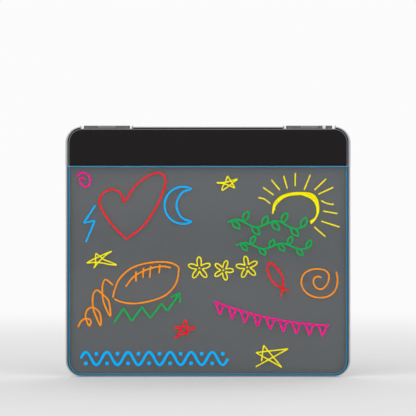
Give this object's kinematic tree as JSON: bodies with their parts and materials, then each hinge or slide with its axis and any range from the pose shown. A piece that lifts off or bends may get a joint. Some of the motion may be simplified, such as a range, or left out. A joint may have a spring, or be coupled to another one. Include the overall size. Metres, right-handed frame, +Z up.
{
  "type": "led writing board",
  "caption": "Edge-lit writing board with a clear panel in a silver channel, a black header with the lights, and folding suction hangers on its top edge",
  "frame": {"origin": "the point midway between the two suction cups, on the plane of the window glass that their mouths touch", "axes": "+X to the right seen from the writing side, +Y towards the glass behind the board, +Z up"},
  "size_m": [0.285, 0.035, 0.2515],
  "materials": {
    "black_shell": "fine moulded texture, black",
    "silver_trim": "satin silver trim",
    "clear_acrylic": "clear cast acrylic, polished, lit from its top edge",
    "grey_sheet": "mid grey, matt",
    "foam": "black foam",
    "channel_aluminium": "mill finish",
    "light_strip": "white strip with diodes",
    "circuit_board": "green board",
    "capacitor_case": "dark blue sleeve",
    "chip_case": "black moulded case",
    "red_insulation": "red insulation",
    "black_insulation": "black insulation",
    "white_gland": "white moulded gland",
    "screw_steel": "bright plated steel",
    "pin_steel": "plain steel pin",
    "dark_grey_moulding": "dark grey moulding, satin",
    "light_grey_moulding": "lighter grey moulding, satin",
    "clear_rubber": "clear soft vinyl"
  },
  "bodies": {
    "board": {"front_cover": "black_shell", "rear_cover": "black_shell", "band_left": "silver_trim", "band_centre": "silver_trim", "band_right": "silver_trim", "writing_panel": "clear_acrylic", "backing_sheet": "grey_sheet", "panel_edging": "silver_trim", "light_seal_front": "foam", "light_seal_rear": "foam", "light_channel": "channel_aluminium", "led_strip": "light_strip", "driver_board": "circuit_board", "capacitor": "capacitor_case", "driver_chip": "chip_case", "red_wire": "red_insulation", "black_wire": "black_insulation", "lead_gland": "white_gland", "cover_screw_1": "screw_steel", "cover_screw_2": "screw_steel", "cover_screw_3": "screw_steel", "cover_screw_4": "screw_steel", "cover_screw_5": "screw_steel", "cover_screw_6": "screw_steel", "channel_screw_1": "screw_steel", "channel_screw_2": "screw_steel", "channel_screw_3": "screw_steel", "channel_screw_4": "screw_steel", "bracket_screw_1": "screw_steel", "bracket_screw_2": "screw_steel", "bracket_screw_3": "screw_steel", "bracket_screw_4": "screw_steel", "hinge_bracket_left": "dark_grey_moulding", "hinge_pin_left": "pin_steel", "hinge_bracket_right": "dark_grey_moulding", "hinge_pin_right": "pin_steel"},
    "hanger_left": {"hanger_arm_left": "light_grey_moulding"},
    "hanger_right": {"hanger_arm_right": "light_grey_moulding"},
    "cup_left": {"suction_cup_left": "clear_rubber"},
    "cup_right": {"suction_cup_right": "clear_rubber"}
  },
  "joints": [
    {"name": "hanger_left_fold", "type": "hinge", "parent": "board", "child": "hanger_left", "pos_m": [-0.1015, -0.0217, 0.031], "axis": [1, 0, 0], "range_deg": [0, 180]},
    {"name": "cup_left_turn", "type": "hinge", "parent": "hanger_left", "child": "cup_left", "pos_m": [-0.1015, 0, 0], "axis": [0, 1, 0], "continuous": true},
    {"name": "hanger_right_fold", "type": "hinge", "parent": "board", "child": "hanger_right", "pos_m": [0.1015, -0.0217, 0.031], "axis": [1, 0, 0], "range_deg": [0, 180]},
    {"name": "cup_right_turn", "type": "hinge", "parent": "hanger_right", "child": "cup_right", "pos_m": [0.1015, 0, 0], "axis": [0, 1, 0], "continuous": true}
  ]
}
